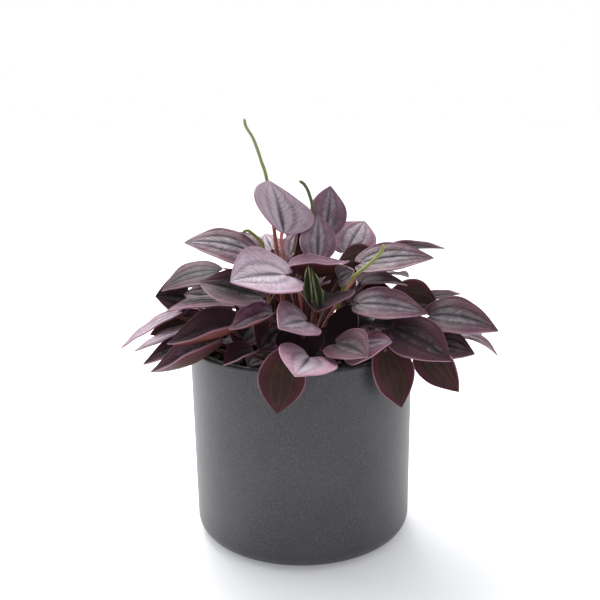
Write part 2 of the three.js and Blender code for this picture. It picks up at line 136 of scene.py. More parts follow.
class SoilSettings(PropertyGroup):
    """The potting mix."""

    foot_radius: length("Foot radius", "Radius at the bottom of the nursery pot", 44 * MM)
    edge: length("Edge height", "Height of the surface at the wall", 102 * MM)
    dome: length("Dome", "Rise of the surface at the middle", 4 * MM)
    lumps: length("Lumps", "Height of the lumps in the surface", 1.6 * MM)
    crumbs: IntProperty(name="Crumbs", description="Bark crumbs on the surface", default=260, min=1)
    grains: IntProperty(name="Grains", description="White grains on the surface", default=24, min=1)
    peat: colour("Peat", "Dark brown of the mix", 0.010, 0.006, 0.004)
    bark: colour("Bark", "Brown of the bark crumbs", 0.030, 0.016, 0.010)
    fibre: colour("Fibre", "Pale fibres in the mix", 0.16, 0.10, 0.06)
    grain: colour("Grain", "White of the light grains", 0.40, 0.38, 0.34)
    dust: colour("Dust", "Mix that clings to the light grains", 0.40, 0.38, 0.33)


class LeafSettings(PropertyGroup):
    """The leaves' blades."""

    thickness: length("Thickness", "Thickness of the blade", 0.8 * MM)
    groove: length("Groove", "Depth of the sunken veins below the panels' crests", 0.4 * MM)
    spacing: share("Vein spacing", "From one vein to the next, as a share of the half width", 0.43)
    ripple: length("Ripple", "Height of the waves in the margin", 0.35 * MM)
    silver: colour("Silver", "Middle of a pale leaf", 0.53, 0.44, 0.525)
    mauve: colour("Mauve", "Outer panels and tip of a pale leaf", 0.36, 0.185, 0.29)
    slate: colour("Slate", "Middle of a dark leaf", 0.033, 0.020, 0.025)
    plum: colour("Plum", "Outer panels and tip of a dark leaf", 0.056, 0.014, 0.029)
    vein: colour("Vein", "Dark green along the sunken veins", 0.022, 0.020, 0.023)
    # Painted shade: leaves deep inside the plant blend towards this near-black where their dark value is
    # over 1.
    shade: colour("Shade", "Old leaves deep inside the plant", 0.018, 0.007, 0.011)
    glow: colour("Glow", "Underside that light comes through", 0.26, 0.085, 0.075)
    blush: colour("Blush", "Pink of a young leaf's outer panels", 0.44, 0.16, 0.25)
    rim: colour("Rim", "Thin pale line round the edge", 0.46, 0.25, 0.33)
    olive: colour("Olive", "Middle of the underside", 0.034, 0.020, 0.013)
    maroon: colour("Maroon", "Edge of the underside", 0.078, 0.017, 0.027)
    green: colour("Green", "A leaf that has just unfolded", 0.030, 0.042, 0.018)
    lime: colour("Lime", "Edge of a leaf that has just unfolded", 0.17, 0.20, 0.075)
    joint: colour("Joint", "Where the stalk meets the blade", 0.20, 0.11, 0.09)
    ridge: colour("Ridge", "Raised veins of the underside", 0.16, 0.08, 0.06)


class StalkSettings(PropertyGroup):
    """The leaf stalks and the short stems that they grow from."""

    radius: length("Radius", "Radius of a stalk at its root", 1.2 * MM)
    taper: share("Taper", "Radius at the blade as a share of the radius at the root", 0.75)
    approach: length("Approach", "Distance behind the blade where a stalk turns towards it", 13 * MM)
    stem_radius: length("Stem radius", "Radius of the short stem of a crown", 4.6 * MM)
    stem_depth: length("Stem depth", "How far a stem goes down into the mix", 9 * MM)
    stem_rise: length("Stem rise", "How far a stem stands out of the mix", 7 * MM)
    red: colour("Red", "Salmon red of a stalk", 0.76, 0.26, 0.24)
    # Painted shade: stalks among the leaves get this dark red in place of their salmon red; the fine dark
    # streaks use it too.
    shade_and_streak_red: colour("Dark red", "A stalk in the shade of the leaves", 0.030, 0.008, 0.008)
    stem: colour("Stem", "Green-brown of the short stems", 0.035, 0.022, 0.012)


class SpikeSettings(PropertyGroup):
    """The slender flower spikes."""

    root: length("Root radius", "Radius of a spike at the soil", 1.4 * MM)
    tip: length("Tip radius", "Radius of a spike at its tip", 0.9 * MM)
    grain: length("Grain", "Height of the tiny flowers packed along a spike", 0.12 * MM)
    lime: colour("Lime", "Yellow-green of a fresh spike", 0.36, 0.42, 0.085)
    straw: colour("Straw", "Pale tip of a spike that is over", 0.46, 0.44, 0.30)
    foot: colour("Foot", "Salmon red of the bare stalk under the flowers", 0.50, 0.15, 0.10)
    deep: colour("Deep", "Dark green of a thin spike", 0.075, 0.10, 0.035)


class StageSettings(PropertyGroup):
    """The floor, the lights and the camera."""

    floor: colour("Floor", "Near-white floor", 0.81, 0.82, 0.845)
    worn: colour("Worn", "Faint clouds in the floor", 0.80, 0.80, 0.82)
    backdrop: colour("Backdrop", "White behind the plant", 1.0, 1.0, 1.0)
    front: share("Front", "Brightness of the light from the camera's side", 0.21)
    behind: amount("Behind", "Added brightness from the far side", 1.05)
    above: amount("Above", "Added brightness from above", 0.3)
    key_power: amount("Key power", "Lamp above the plant and behind it", 22, unit="POWER")
    side_power: amount("Side power", "Lamp on the left", 6, unit="POWER")
    glow: share("Glow", "Light that the floor adds to its shadows", 0.29)
    lens: amount("Lens", "Focal length in millimetres", 52.8)
    eye: FloatVectorProperty(
        name="Eye", description="Where the camera stands", default=(-0.0003, -0.5, 0.258),
        size=3, unit="LENGTH",
    )
    down: amount("Down", "How far the camera looks down", math.radians(13.4), unit="ROTATION")
    roll: FloatProperty(
        name="Roll", description="Roll of the camera", default=math.radians(-0.79), unit="ROTATION"
    )


# ---------------------------------------------------------------- the plant's plan

CENTRE = "crown_centre"
LEFT = "crown_left"
RIGHT = "crown_right"
FRONT = "crown_front"
BACK_LEFT = "crown_back_left"
BACK_RIGHT = "crown_back_right"

# Where each crown's short stem stands.
CROWNS = {
    CENTRE: (2, 3),
    LEFT: (-30, -6),
    RIGHT: (31, -5),
    FRONT: (3, -33),
    BACK_LEFT: (-21, 29),
    BACK_RIGHT: (23, 28),
}


def leaf(crown, name, attach, tip, width, face, cup=0.3, arch=0.05, skew=0, lobe=0.5, full=0.7, dip=0.85):
    """The point where the stalk meets the blade, the tip, the width, the way that the upper face
    looks, and how much the blade cups, arches, leans to a side and runs back in two lobes. full is
    under 1 where a leaf is widest near its stalk, and dip says how far below it its stalk comes from."""
    return SimpleNamespace(
        crown=crown, name=name, attach=Vector(attach) * MM, tip=Vector(tip) * MM, width=width * MM,
        face=Vector(face), cup=cup, arch=arch, skew=skew, lobe=lobe, full=full, dip=dip,
    )


PLACED_LEAVES = [
    leaf(CENTRE, "top", (-9, -8, 180), (-17, 8, 208), 38, (0.8, -1, 0.2), skew=0.3, lobe=0.1, full=0.72),
    leaf(CENTRE, "top_back", (15, 16, 174), (19, 30, 202), 25, (0.6, -1, 0.4),
         cup=0.1, arch=0.03, lobe=0.3, full=0.9, dip=0.3),
    leaf(CENTRE, "centre_up", (10, -8, 165), (11, 8, 188), 21, (0.1, -1, 0.5),
         arch=0.03, lobe=0.3, full=0.66),
    leaf(CENTRE, "young_pale", (-3, 10, 163), (1, 22, 178), 20, (-0.6, -1, 0.6), cup=0.2),
    leaf(CENTRE, "young_dark", (-3, -3, 165), (0, 1, 182), 12, (0.6, 0.8, 0.3), cup=0.8),
    leaf(CENTRE, "mid_edge", (-2, -22, 160), (27, -20, 166), 26, (0, 0, 1), cup=0.8, arch=-0.17),
    leaf(LEFT, "left_bright", (-9, -38, 162), (-36, -58, 163), 39, (0.05, -0.6, 0.9),
         cup=0.2, lobe=1.2, full=0.78),
    leaf(LEFT, "left_high", (-26, -10, 169), (-64, -18, 177), 32, (0, -0.5, 1), cup=0, arch=0.08),
    leaf(LEFT, "left_mid", (-48, 0, 157), (-80, -6, 147), 28, (-0.3, -0.4, 1), cup=0, arch=0.12),
    leaf(LEFT, "left_dark", (-21, -34, 149), (-57, -20, 155), 30, (0, -0.6, 1), arch=0.02),
    leaf(LEFT, "left_maroon", (-37, 3, 136), (-69, 7, 142), 30, (0, -0.35, 1), arch=0.03, full=1.1),
    leaf(LEFT, "left_pink", (-42, -14, 142), (-76, -20, 138), 21, (-0.1, -0.1, 1), cup=-0.05, arch=0.1),
    leaf(LEFT, "left_tail", (-68, 10, 139), (-85, 2, 142), 24, (-0.3, -0.9, 0.5), cup=0.2),
    leaf(LEFT, "left_cup", (-36, -37, 132), (-72, -45, 127), 31, (0, -0.15, 1), cup=0.78, arch=-0.1),
    leaf(LEFT, "small_cup", (-16, -48, 143), (-37, -62, 139), 19, (0.1, -0.1, 1), cup=0.7, arch=-0.08),
    leaf(LEFT, "left_far1", (-72, -8, 134), (-104, -12, 115), 21, (-0.5, -0.1, 1), cup=0.1, arch=0.04),
    leaf(LEFT, "left_far2", (-68, 0, 122), (-97, -8, 112), 20, (-0.5, -0.1, 1), cup=0.2, arch=0),
    leaf(LEFT, "left_brown", (-60, 9, 126), (-90, 5, 118), 19, (0, 1, 0.3), cup=0.1),
    leaf(LEFT, "low_left1", (-54, -16, 119), (-90, -22, 108), 24, (-0.3, -0.3, 1)),
    leaf(LEFT, "low_left2", (-46, -37, 122), (-83, -38, 109), 30, (-0.1, -0.15, 1), cup=0.8, arch=-0.1),
    leaf(FRONT, "low_front_left", (-26, -50, 123), (-41, -60, 119), 19, (0, -0.1, 1), cup=0.5, arch=0.02),
    leaf(FRONT, "hang_left", (-8, -66, 126), (-13, -72, 96), 25, (0.1, 1, 0.1),
         cup=-0.2, arch=-0.03, full=0.85),
    leaf(FRONT, "front_pink", (4, -72, 126), (-3, -98, 125), 31, (0.25, -0.35, 0.95),
         cup=0.15, arch=0.02, lobe=1.2, full=0.6),
    leaf(FRONT, "front_mid", (2, -56, 141), (-11, -76, 143), 27, (0.15, -0.85, 1),
         cup=0.2, skew=0.1, lobe=1.2, full=0.78),
    leaf(FRONT, "front_right", (19, -58, 129), (33, -78, 128), 25, (-0.1, -0.65, 1),
         cup=0.2, skew=-0.1, lobe=0.9, full=0.78),
    leaf(FRONT, "front_right_pink", (26, -48, 123), (47, -62, 131), 25, (0, -0.6, 1), cup=-0.1),
    leaf(FRONT, "centre_dark", (15, -26, 149), (8, -52, 145), 32, (0.1, -0.3, 1), cup=0.4),
    leaf(FRONT, "young_green", (5, -46, 148), (4, -45, 168), 4, (-0.4, -1, 0.2), cup=0.9, lobe=0.2),
    leaf(FRONT, "young_twin", (10, -46, 146), (6, -45, 167), 4, (0.6, -1, 0.2), cup=0.9, lobe=0.2),
    leaf(FRONT, "right_high", (35, -12, 163), (75, -16, 166), 26, (0, -0.5, 1),
         cup=0.1, arch=0.06, dip=1.2),
    leaf(RIGHT, "right_mid", (32, -36, 145), (68, -44, 141), 26, (0, -0.5, 1), cup=0.15, arch=0.05),
    leaf(RIGHT, "right_long", (74, -14, 132), (112, -20, 124), 33, (-0.05, -0.45, 1), cup=0.1, arch=0.1),
    leaf(RIGHT, "right_edge2", (75, -4, 121), (106, -4, 118), 26, (0, 0.1, 1), cup=0.2, dip=-0.1),
    leaf(RIGHT, "right_low", (73, -25, 118), (96, -34, 115), 27, (0, -0.4, 1), cup=0.1, dip=-0.2),
    leaf(RIGHT, "right_far", (95, 10, 113), (118, 5, 102), 25, (0.3, 0, 1), cup=0.2, arch=0.1, dip=-0.8),
    leaf(RIGHT, "right_dark", (49, -42, 133), (79, -56, 118), 30, (0, -0.75, 1),
         cup=0.1, arch=0.06, skew=0.1, lobe=0.3, full=0.74),
    leaf(RIGHT, "low_right", (68, -35, 118), (87, -39, 95), 25, (0.6, 1, 0.3),
         cup=-0.1, arch=-0.03, dip=0.2),
    leaf(RIGHT, "hang_right", (44, -48, 123), (53, -55, 92), 25, (-0.5, 1, 0.1),
         cup=-0.2, arch=-0.03, full=0.85),
    leaf(RIGHT, "right_olive", (50, -5, 138), (82, 8, 133), 28, (0, 1, 0.4), full=0.9),
    leaf(RIGHT, "right_red", (68, 15, 131), (97, 20, 137), 26, (0, 0.4, 1), arch=0.03),
    leaf(RIGHT, "right_under", (36, -10, 151), (62, -4, 148), 28, (0, -0.1, 1)),
    leaf(RIGHT, "right_inner", (29, -14, 140), (57, -14, 142), 28, (0, -0.5, 1), full=0.9),
    leaf(FRONT, "young_grey", (21, -28, 157), (29, -34, 163), 13, (-0.3, -0.9, 0.5),
         cup=0.4, lobe=0.2, dip=0.3),
    leaf(BACK_RIGHT, "right_back", (28, 16, 165), (41, 46, 178), 28, (0.1, -1, 0.9), cup=0.05),
    leaf(BACK_RIGHT, "right_edge", (47, 11, 165), (86, 15, 166), 26, (0, 0.25, 1), arch=0.03),
    leaf(BACK_RIGHT, "brown_back", (43, 12, 160), (21, -3, 161), 20, (0.5, 1, -0.1), dip=-0.3),
    leaf(LEFT, "inner_left", (-10, -33, 131), (-23, -45, 122), 28, (0, -0.9, 0.8)),
    leaf(FRONT, "inner_front", (14, -34, 132), (28, -44, 124), 34, (0, -0.9, 0.8)),
    leaf(FRONT, "inner_mid", (-1, -42, 132), (0, -53, 115), 26, (0, -1, 0.6)),
    leaf(RIGHT, "inner_right", (41, -19, 129), (56, -40, 131), 27, (0, -0.3, 1)),
    leaf(CENTRE, "inner_centre", (4, 0, 147), (1, -24, 149), 28, (0, -0.3, 1)),
    leaf(LEFT, "inner_far_left", (-26, -24, 132), (-36, -38, 122), 28, (0, -0.9, 0.7)),
    leaf(RIGHT, "inner_low_right", (42, -24, 119), (62, -30, 119), 24, (0.1, -0.2, 1)),
    leaf(BACK_LEFT, "inner_back_left", (-13, 19, 149), (-37, 22, 155), 22, (-0.1, -0.1, 1)),
    leaf(BACK_LEFT, "behind_pale", (-17, 25, 165), (-22, 39, 172), 13, (0, -1, 0.8), cup=0.1),
]

# Rings of like leaves on the far side and in the shade. Turns run anticlockwise from +X, in degrees.
RINGS = [
    {"name": "rim", "turns": [34, 60, 86, 112, 136, 155], "reach": (62, 96), "height": (126, 108),
     "width": 29, "dip": 0.4},
    {"name": "shoulder", "turns": [28, 54, 80, 104, 128, 147], "reach": (46, 81), "height": (143, 139),
     "width": 29, "dip": 0.85},
    {"name": "upper", "turns": [80, 110, 162], "reach": (28, 58), "height": (161, 171),
     "width": 28, "dip": 0.85},
    {"name": "inner", "turns": [35, 66, 97, 128], "reach": (25, 38), "height": (128, 153),
     "width": 28, "dip": 0.6},
    {"name": "shade", "turns": [205, 238, 322], "reach": (35, 50), "height": (115, 118),
     "width": 22, "dip": 0.1},
]

# The stalks in the light, salmon red all the way up; the others are painted dark red as shade of the leaves.
STALKS_IN_LIGHT = {"top", "top_back", "young_pale", "right_high"}

# How dark and how pink each leaf's upper face is, where it isn't as most are. Over 1 adds painted shade,
# towards the Shade colour, for a leaf deep in the plant's shade.
USUAL_LOOK = (0.85, 0.25)
LOOKS = {
    "top": (0.07, 0.05), "top_back": (0.5, 0.25), "centre_up": (0.5, 0.15), "young_pale": (0.3, 0.2),
    "young_dark": (1, 0), "mid_edge": (0.3, 0.4), "left_bright": (0.12, 0.03), "left_high": (0.83, 0.4),
    "left_mid": (1.16, 0.4), "left_dark": (1.08, 0.5), "left_maroon": (1.1, 0.3),
    "left_pink": (0.75, 0.9), "left_cup": (1.4, 0.3), "low_left1": (0.95, 0.3),
    "low_left2": (0.97, 0.3), "left_far1": (0.35, 0.3), "left_far2": (0.2, 0.1),
    "small_cup": (0.72, 0.5), "front_pink": (0.02, 0.6), "front_mid": (0.5, 0.25),
    "front_right": (1.05, 0.5), "front_right_pink": (0.75, 0.9), "centre_dark": (1.45, 0.1),
    "young_green": (0.9, 0), "young_twin": (0.9, 0), "young_grey": (0.5, 0), "right_high": (0.9, 0.45),
    "right_mid": (0.84, 0.3), "right_long": (0.98, 0.4), "right_dark": (1.08, 0.3),
    "right_back": (0.62, 0.35), "right_olive": (1.1, 0.1), "right_red": (0.95, 1),
    "right_under": (1.15, 0.3), "right_inner": (1.3, 0.2), "right_low": (0.9, 0.3),
    "right_edge2": (0.5, 0.2), "right_edge": (0.95, 0.3), "left_tail": (1.1, 0.3), "left_brown": (1, 0),
    "low_front_left": (1.35, 0.3), "inner_left": (1, 0.2), "inner_mid": (1.95, 0),
    "inner_front": (1.95, 0), "inner_right": (1.7, 0), "inner_centre": (1.7, 0),
    "inner_far_left": (1.2, 0.2), "inner_low_right": (1.7, 0), "behind_pale": (0.1, 0.2),
}

# How green the youngest leaves are.
GREENS = {"young_dark": 0.2, "young_green": 1, "young_twin": 1, "young_grey": 0.35}

# The leaves whose underside the light comes through, and how much.
LIT_UNDERSIDES = {"left_cup": 0.8, "small_cup": 1, "low_left2": 0.2, "mid_edge": 0.15, "left_far1": 0.3}

# Each flower spike's route from the soil to its tip, the share of it that is bare stalk, how ripe it
# is, from 0, fresh, to 1, over, and how dark a green it has.
SPIKES = {
    "flower_spike_1": ([(-9, 11, 110), (-12, 12, 150), (-18, 16, 203), (-22, 17, 219), (-26, 17, 231),
                        (-30, 16, 238), (-31, 16, 243)], 0.68, 0.9, 0.25),
    "flower_spike_2": ([(9, 14, 110), (8, 15, 150), (8, 11, 187), (6, 11, 199), (3, 12, 205),
                        (0, 12, 207)], 0.5, 0.3, 0.85),
    "flower_spike_3": ([(-17, 7, 110), (-19, 4, 145), (-21, 2, 169), (-23, 2, 174), (-27, 2, 178),
                        (-30, 2, 180), (-33, 2, 179)], 0.5, 0.15, 0.05),
    "flower_spike_4": ([(17, -23, 110), (20, -25, 135), (23, -25, 148), (28, -24, 156), (38, -23, 164),
                        (45, -22, 171), (46, -22, 175)], 0.5, 0.1, 0),
}
SPIKE_DEPTH = 8 * MM

# Smallest and largest lumps on the soil, and how far above it their middles lie.
CRUMB_SIZES = (0.9 * MM, 3.0 * MM)
GRAIN_SIZES = (0.7 * MM, 1.7 * MM)
LUMP_RISE = 0.6 * MM

# The two square lamps: where they hang and how wide they are, in metres. Both face the plant's middle.
KEY_LAMP = ((-0.25, 0.75, 1.1), 0.9)
SIDE_LAMP = ((-1.1, 0.6, 0.5), 0.8)
LAMP_AIM = Vector((0, 0, 0.13))

FLOOR_WIDTH = 12
SENSOR_WIDTH = 36  # of the camera, in millimetres
ASIDE = (0.31, 0.95, 0.05)  # a direction that no stalk or spike runs in


def scatter(i, k):
    """A number from 0 to 1 that looks random but depends only on the two whole numbers given."""
    wave = math.sin(i * 12.9898 + k * 78.233) * 43758.5453
    return wave - math.floor(wave)


def nearest_crown(x, y):
    return min(CROWNS, key=lambda name: math.hypot(x - CROWNS[name][0], y - CROWNS[name][1]))


def ring_leaves(ring_number, ring):
    leaves = []
    for i, degrees in enumerate(ring["turns"]):
        def draw(k, size):
            return (scatter(i + 1 + 20 * ring_number, k) - 0.5) * 2 * size

        turn = math.radians(degrees)
        tip_turn = turn + draw(1, 0.12)
        near = ring["reach"][0] + draw(2, 3)
        far = ring["reach"][1] + draw(3, 4)
        lift = -4 if i % 2 else 4
        attach = (near * math.cos(turn), near * math.sin(turn), ring["height"][0] + lift)
        tip = (far * math.cos(tip_turn), far * math.sin(tip_turn), ring["height"][1] + lift + draw(4, 3))
        face = (0.3 * math.cos(turn) + draw(5, 0.15), 0.3 * math.sin(turn) + draw(6, 0.15), 1)
        leaves.append(leaf(
            nearest_crown(attach[0], attach[1]), f"{ring['name']}_{i + 1}", attach, tip,
            ring["width"] + draw(8, 2), face, cup=0.2 + draw(7, 0.15), arch=0.07, dip=ring["dip"],
        ))
    return leaves


LEAVES = PLACED_LEAVES + [each for number, ring in enumerate(RINGS) for each in ring_leaves(number, ring)]


# ---------------------------------------------------------------- modelling tools


def deselect_all():
    if bpy.context.mode != "OBJECT":
        bpy.ops.object.mode_set(mode="OBJECT")
    bpy.ops.object.select_all(action="DESELECT")


def named(name):
    """Names the active object and its mesh."""
    piece = bpy.context.object
    piece.name = name
    piece.data.name = name
    return piece


def only(piece):
    deselect_all()
    piece.select_set(True)
    bpy.context.view_layer.objects.active = piece


def own_copy(blank):
    piece = blank.copy()
    piece.data = blank.data.copy()
    bpy.context.collection.objects.link(piece)
    return piece


def joined(parts, name):
    deselect_all()
    for part in parts:
        part.select_set(True)
    bpy.context.view_layer.objects.active = parts[0]
    bpy.ops.object.join()
    return named(name)


@contextmanager
def editing_all():
    """Edit mode, with all of the active mesh selected."""
    bpy.ops.object.mode_set(mode="EDIT")
    bpy.ops.mesh.select_all(action="SELECT")
    yield
    bpy.ops.object.mode_set(mode="OBJECT")


def points_of(mesh):
    points = np.empty(len(mesh.vertices) * 3)
    mesh.vertices.foreach_get("co", points)
    return points.reshape(-1, 3)


def set_points(mesh, points):
    mesh.vertices.foreach_set("co", np.ascontiguousarray(points, dtype=np.float32).ravel())
    mesh.update()


def mark(mesh, name, value):
    """Writes a number on every vertex, one for all or one for each, for the material to read."""
    attribute = mesh.attributes.new(name, "FLOAT", "POINT")
    attribute.data.foreach_set("value", np.full(len(mesh.vertices), value, dtype=np.float32))


def tidy_surface(piece, threshold=2e-6, angle=50):
    """Merges doubles, turns the faces outwards and shades smooth up to the angle."""
    only(piece)
    with editing_all():
        bpy.ops.mesh.remove_doubles(threshold=threshold)
        bpy.ops.mesh.normals_make_consistent(inside=False)
    bpy.ops.object.shade_smooth_by_angle(angle=math.radians(angle))


def add_modifier(piece, kind, **values):
    """Adds a modifier, sets its values and applies it."""
    only(piece)
    modifier = piece.modifiers.new(kind.title(), kind)
    for key, value in values.items():
        setattr(modifier, key, value)
    bpy.ops.object.modifier_apply(modifier=modifier.name)


def arc(radius, height, size, start, end, steps):
    """Points of an arc in a profile, angles in degrees."""
    turns = [math.radians(start + (end - start) * i / steps) for i in range(steps + 1)]
    return [(radius + size * math.cos(turn), height + size * math.sin(turn)) for turn in turns]


def spun(name, profile, steps):
    """A turned piece: one vertex is extruded along the profile of (radius, height) points and spun."""
    deselect_all()
    bpy.ops.mesh.primitive_plane_add(size=MM)
    piece = named(name)
    bpy.ops.object.mode_set(mode="EDIT")
    bpy.ops.mesh.merge(type="CENTER")
    bpy.ops.transform.translate(value=(profile[0][0], 0, profile[0][1]))
    for (radius, height), (next_radius, next_height) in zip(profile, profile[1:]):
        step = (next_radius - radius, 0, next_height - height)
        bpy.ops.mesh.extrude_region_move(TRANSFORM_OT_translate={"value": step})
    bpy.ops.mesh.select_all(action="SELECT")
    bpy.ops.mesh.spin(steps=steps, angle=2 * math.pi, center=(0, 0, 0), axis=(0, 0, 1))
    bpy.ops.object.mode_set(mode="OBJECT")
    tidy_surface(piece)
    return piece


def finish_piece(piece, slot, materials, *nodes):
    """Gives the piece its materials and ties it to the frame."""
    piece.data.materials.clear()
    for material in materials:
        piece.data.materials.append(material)
    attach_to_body(piece, BODY)
    if nodes:
        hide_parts(*nodes)
    return piece


# ---------------------------------------------------------------- materials


def arithmetic(operation, swapped=False):
    """The method behind one arithmetic sign. It adds a Math node."""
    def method(self, other):
        return self.math(operation, other, self) if swapped else self.math(operation, self, other)
    return method


class Value:
    """An output socket that can be used in arithmetic."""

    __add__, __radd__ = arithmetic("ADD"), arithmetic("ADD", swapped=True)
    __sub__, __rsub__ = arithmetic("SUBTRACT"), arithmetic("SUBTRACT", swapped=True)
    __mul__, __rmul__ = arithmetic("MULTIPLY"), arithmetic("MULTIPLY", swapped=True)

    def __init__(self, tree, socket):
        self.tree = tree
        self.socket = socket

    def math(self, operation, *terms, **settings):
        settings["operation"] = operation
        return self.tree.node("ShaderNodeMath", settings, dict(enumerate(terms)))

    def __abs__(self):
        return self.math("ABSOLUTE", self)

    def clamped(self):
        return self.math("ADD", self, 0, use_clamp=True)

    def fold(self, size):
        """Goes up to size and back down to 0, over and over."""
        return self.math("PINGPONG", self, size)

    def step(self, low, high):
        """0 below low, 1 above high, smooth between."""
        return self.tree.node(
            "ShaderNodeMapRange", {"interpolation_type": "SMOOTHSTEP"},
            {"Value": self, "From Min": low, "From Max": high},
        )


class Tree:
    """The nodes of a material or a world."""

    def __init__(self, owner):
        owner.use_nodes = True
        self.nodes = owner.node_tree.nodes
        self.links = owner.node_tree.links

    def node(self, kind, settings=None, values=None, output=0):
        """Adds a node. Its settings come first, then its sockets' values or links."""
        made = self.nodes.new(kind)
        for key, value in (settings or {}).items():
            setattr(made, key, value)
        for key, value in (values or {}).items():
            self.plug(made.inputs[key], value)
        return Value(self, made.outputs[output])

    def plug(self, socket, value):
        if isinstance(value, Value):
            self.links.new(value.socket, socket)
        elif socket.type == "RGBA" and len(value) == 3:
            socket.default_value = (*value, 1)
        else:
            socket.default_value = value

    def part(self, vector, axis):
        return self.node("ShaderNodeSeparateXYZ", {}, {"Vector": vector}, output=axis)


class Shader(Tree):
    """A new material and the few nodes that its patterns are made of."""

    def __init__(self, name):
        self.material = bpy.data.materials.new(name)
        super().__init__(self.material)
        self.place = self.node("ShaderNodeTexCoord", output="Object")

    def finished(self, **values):
        """Sets or links the surface shader's sockets: base_color is Base Color. Gives the material."""
        for key, value in values.items():
            socket = key.replace("_", " ").title().replace("Ior", "IOR")
            self.plug(self.nodes["Principled BSDF"].inputs[socket], value)
        return self.material

    def mix(self, factor, first, second):
        """The first colour where factor is 0, the second where it is 1."""
        return self.node(
            "ShaderNodeMix", {"data_type": "RGBA"},
            {"Factor": factor, 6: first, 7: second}, output=2,
        )

    def noise(self, scale, detail=2, roughness=0.5, place=None):
        return self.node(
            "ShaderNodeTexNoise", {},
            {"Vector": place or self.place, "Scale": scale, "Detail": detail, "Roughness": roughness},
        )

    def attribute(self, name):
        return self.node("ShaderNodeAttribute", {"attribute_name": name}, output="Fac")

    def blade_place(self):
        """Across the blade from -1 to 1, and along it from 0 to 1."""
        place = self.node("ShaderNodeUVMap", {"uv_map": "blade"})
        return self.part(place, "X") * 2 - 1, self.part(place, "Y")

    def bump(self, height, strength, distance):
        return self.node(
            "ShaderNodeBump", {}, {"Height": height, "Strength": strength, "Distance": distance}
        )


def leaf_face_material(leaves):
    """The upper face: silver panels and mauve edges between dark sunken veins, each leaf its own tone, with
    painted shade on leaves deep in the plant and a painted highlight on the panels' crests.
    """
    shader = Shader("leaf_face")
    across, along = shader.blade_place()
    dark = shader.attribute("dark")
    pink = shader.attribute("pink")
    green = shader.attribute("green")

    cloud = shader.noise(75)
    mottle = shader.noise(260, 3)
    fine = shader.noise(1400)
    aside = abs(across)
    wander = (cloud - 0.5) * 0.09 + (mottle - 0.5) * 0.08
    from_vein = (aside + wander).fold(leaves.spacing / 2)
    outer = (aside * 0.8 + along * 0.45 + (cloud - 0.5) * 1.1).step(0.25, 1.05)

    pale = shader.mix((outer * (0.4 + 0.65 * dark)).clamped(), leaves.silver, leaves.mauve)
    deep = shader.mix(outer, leaves.slate, leaves.plum)
    # Paler on the panels' crests, away from the veins: part the leaf's own silver, part a painted highlight.
    crest_highlight = from_vein.step(0.05, 0.2) * (1 - outer)
    tone = dark + (mottle - 0.5) * 0.5 + (cloud - 0.5) * 0.3 - crest_highlight * 0.17 + outer * dark * 0.16
    body = shader.mix(tone.clamped(), pale, deep)
    blush = (pink * (aside + along * 0.3 + (cloud - 0.5) * 0.9).step(0.15, 1.0)).clamped()
    body = shader.mix(blush * 0.8, body, shader.mix(dark * 0.6, leaves.blush, leaves.plum))

    # The midrib is dark near the stalk, the side veins fainter, and all fade out towards the tip.
    fade = (1 - along.step(0.15, 0.9) * 0.6) * (1 - aside.step(0.1, 0.35) * 0.6 - aside.step(0.5, 0.8) * 0.3)
    vein = (1 - from_vein.step(0.0, 0.17 - 0.06 * along)) * fade
    body = shader.mix((vein * (0.9 - 0.3 * dark)).clamped(), body, leaves.vein)

    # Short cross veins run out and forward from the midrib, broken and uneven.
    slant = along * 12 - aside * 5 + mottle * 2.2 + cloud * 1.5
    stroke = 1 - slant.fold(0.5).step(0.0, 0.3)
    stroke = stroke * along.step(0.03, 0.3) * (1 - aside.step(0.5, 1.0)) * mottle.step(0.25, 0.6)
    bruise = shader.mix(0.5, leaves.vein, leaves.plum)
    body = shader.mix((stroke * (0.36 + 0.2 * dark)).clamped(), body, bruise)

    line = (aside + (mottle - 0.5) * 0.02).step(0.94, 0.99)
    body = shader.mix((line * (0.75 - 0.3 * dark)).clamped(), body, leaves.rim)

    young = shader.mix(aside.step(0.75, 0.97), leaves.green, leaves.lime)
    body = shader.mix(green, body, young)
    joint = (1 - along.step(0.0, 0.04)) * (1 - aside.step(0.1, 0.6))
    body = shader.mix(joint * 0.5, body, leaves.joint)
    # Painted shade: a dark value over 1 blends the face towards the Shade colour.
    body = shader.mix((dark - 1).clamped(), body, leaves.shade)

    blister = shader.noise(420)
    relief = from_vein.step(0.0, 0.13) * 0.3 + (1 - stroke) * 0.3 + blister * 0.8 + fine * 0.08
    dull = 0.5 * (dark - 0.9).clamped()
    return shader.finished(
        base_color=body, roughness=0.38 + 0.2 * mottle + dull, specular_ior_level=0.24,
        normal=shader.bump(relief, 0.6, 0.5 * MM),
    )


